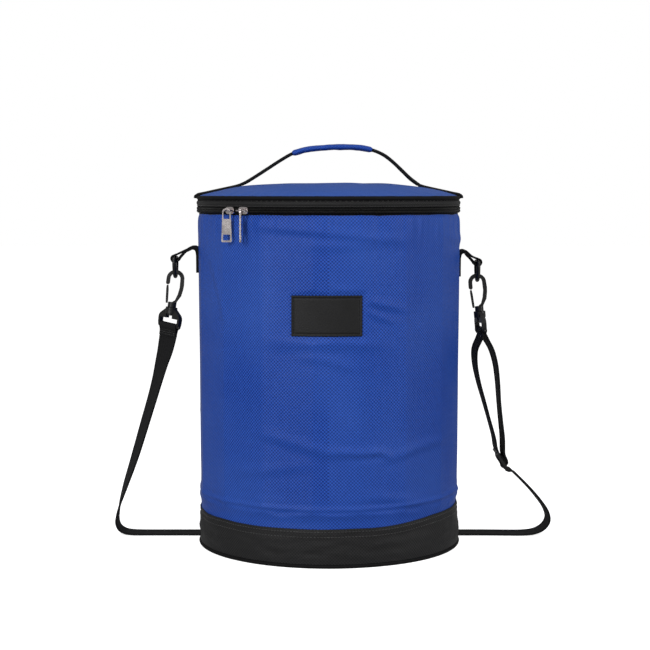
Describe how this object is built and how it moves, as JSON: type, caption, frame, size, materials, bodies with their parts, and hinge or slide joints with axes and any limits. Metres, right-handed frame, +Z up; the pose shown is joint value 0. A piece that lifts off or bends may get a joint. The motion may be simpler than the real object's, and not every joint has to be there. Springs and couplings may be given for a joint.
{
  "type": "insulated cooler bag",
  "caption": "Round padded cooler bag with a zipped, hinged lid, a carry handle and a clip-on adjustable shoulder strap.",
  "frame": {"origin": "centre of the underside, on the surface that the bag stands on", "axes": "+Z up along the bag's axis, -Y to the front with the patch, +X to the right seen from the front"},
  "size_m": [0.4746, 0.2809, 0.4251],
  "materials": {
    "blue_polyester": "woven, soft satin sheen",
    "black_polyester": "woven, matte",
    "black_piping": "ribbed binding",
    "white_foam": "closed-cell foam",
    "foil_liner": "metallised film, crinkled",
    "grey_board": "pressed board",
    "zip_tape": "woven tape",
    "nylon_coil": "moulded coil",
    "nickel_plate": "nickel plated",
    "black_leatherette": "fine grain, matte",
    "black_webbing": "ribbed webbing",
    "black_acetal": "moulded, satin"
  },
  "bodies": {
    "root": {"outer_panel": "blue_polyester", "wall_foam": "white_foam", "liner_wall": "foil_liner", "rim_binding": "black_piping", "bottom_panel": "black_polyester", "base_board": "grey_board", "base_foam": "white_foam", "liner_floor": "foil_liner", "base_band": "black_polyester", "base_piping": "black_piping", "lower_zip_tape": "zip_tape", "lower_zip_coil": "nylon_coil", "zip_end_stops": "nickel_plate", "back_hinge_panel": "black_polyester", "front_patch": "black_leatherette", "tab_left": "black_webbing", "tab_right": "black_webbing", "strap_left": "black_webbing", "strap_right": "black_webbing", "strap_double": "black_webbing"},
    "lid": {"lid_panel": "blue_polyester", "lid_foam": "white_foam", "lid_liner": "foil_liner", "lid_binding": "black_piping", "lid_piping": "black_piping", "lid_gusset": "black_polyester", "upper_zip_tape": "zip_tape", "upper_zip_coil": "nylon_coil", "handle_ends": "black_webbing"},
    "handle": {"handle_webbing": "black_webbing", "handle_sleeve": "blue_polyester"},
    "slider_left": {"slider_left": "nickel_plate"},
    "slider_right": {"slider_right": "nickel_plate"},
    "puller_left": {"puller_left": "nickel_plate"},
    "puller_right": {"puller_right": "nickel_plate"},
    "ring_left": {"ring_left": "black_acetal"},
    "ring_right": {"ring_right": "black_acetal"},
    "clip_left": {"clip_base_left": "black_acetal", "strap_end_left": "black_webbing"},
    "clip_right": {"clip_base_right": "black_acetal", "strap_end_right": "black_webbing"},
    "hook_left": {"hook_left": "black_acetal"},
    "hook_right": {"hook_right": "black_acetal"},
    "gate_left": {"gate_left": "black_acetal"},
    "gate_right": {"gate_right": "black_acetal"},
    "adjuster": {"adjuster": "black_acetal", "adjuster_wrap": "black_webbing"}
  },
  "joints": [
    {"name": "lid_hinge", "type": "hinge", "parent": "root", "child": "lid", "pos_m": [0, 0.1402, 0.3566], "axis": [-1, 0, 0], "range_deg": [0, 110], "deforming": ["back_hinge_panel"]},
    {"name": "handle_lean", "type": "hinge", "parent": "lid", "child": "handle", "pos_m": [0, 0, 0.3825], "axis": [1, 0, 0], "range_deg": [-50, 50], "deforming": ["handle_webbing"]},
    {"name": "slider_left_run", "type": "hinge", "parent": "root", "child": "slider_left", "pos_m": [0, 0, 0.3566], "axis": [0, 0, -1], "range_deg": [0, 113.5]},
    {"name": "slider_right_run", "type": "hinge", "parent": "root", "child": "slider_right", "pos_m": [0, 0, 0.3566], "axis": [0, 0, 1], "range_deg": [0, 195]},
    {"name": "puller_left_lift", "type": "hinge", "parent": "slider_left", "child": "puller_left", "pos_m": [-0.10233, -0.10414, 0.3566], "axis": [-0.7133, 0.7009, 0], "range_deg": [0, 85]},
    {"name": "puller_right_lift", "type": "hinge", "parent": "slider_right", "child": "puller_right", "pos_m": [-0.08786, -0.1166, 0.3566], "axis": [-0.7986, 0.6018, 0], "range_deg": [0, 85]},
    {"name": "clip_left_swing", "type": "hinge", "parent": "root", "child": "clip_left", "pos_m": [-0.1635, 0, 0.3045], "axis": [0, 1, 0], "range_deg": [-8, 40], "deforming": ["strap_left"]},
    {"name": "ring_left_swing", "type": "hinge", "parent": "root", "child": "ring_left", "pos_m": [-0.1635, 0, 0.3045], "axis": [0, 1, 0], "range_deg": [-8, 40]},
    {"name": "hook_left_swivel", "type": "hinge", "parent": "clip_left", "child": "hook_left", "pos_m": [-0.1635, 0, 0.2826], "axis": [0.1392, 0, 0.9903], "range_deg": [-22, 22]},
    {"name": "gate_left_spring", "type": "hinge", "parent": "hook_left", "child": "gate_left", "pos_m": [-0.17309, 0, 0.25749], "axis": [0, 1, 0], "range_deg": [0, 18], "stiffness_Nm_per_rad": 0.03, "springref_deg": -5.73},
    {"name": "clip_right_swing", "type": "hinge", "parent": "root", "child": "clip_right", "pos_m": [0.159, 0, 0.3005], "axis": [0, -1, 0], "range_deg": [-8, 40], "deforming": ["strap_double", "strap_right"]},
    {"name": "ring_right_swing", "type": "hinge", "parent": "root", "child": "ring_right", "pos_m": [0.159, 0, 0.3005], "axis": [0, -1, 0], "range_deg": [-8, 40]},
    {"name": "hook_right_swivel", "type": "hinge", "parent": "clip_right", "child": "hook_right", "pos_m": [0.159, 0, 0.2786], "axis": [-0.0872, 0, 0.9962], "range_deg": [-22, 22]},
    {"name": "gate_right_spring", "type": "hinge", "parent": "hook_right", "child": "gate_right", "pos_m": [0.15531, 0, 0.25198], "axis": [0, 1, 0], "range_deg": [0, 18], "stiffness_Nm_per_rad": 0.03, "springref_deg": -5.73},
    {"name": "adjuster_slide", "type": "slide", "parent": "root", "child": "adjuster", "axis": [-0.0996, -0.0498, 0.9938], "range_m": [0, 0.03], "deforming": ["strap_double", "strap_right"]}
  ],
  "couplings": [
    {"joint": "ring_left_swing", "follows": "clip_left_swing", "ratio": 1},
    {"joint": "ring_right_swing", "follows": "clip_right_swing", "ratio": 1}
  ]
}
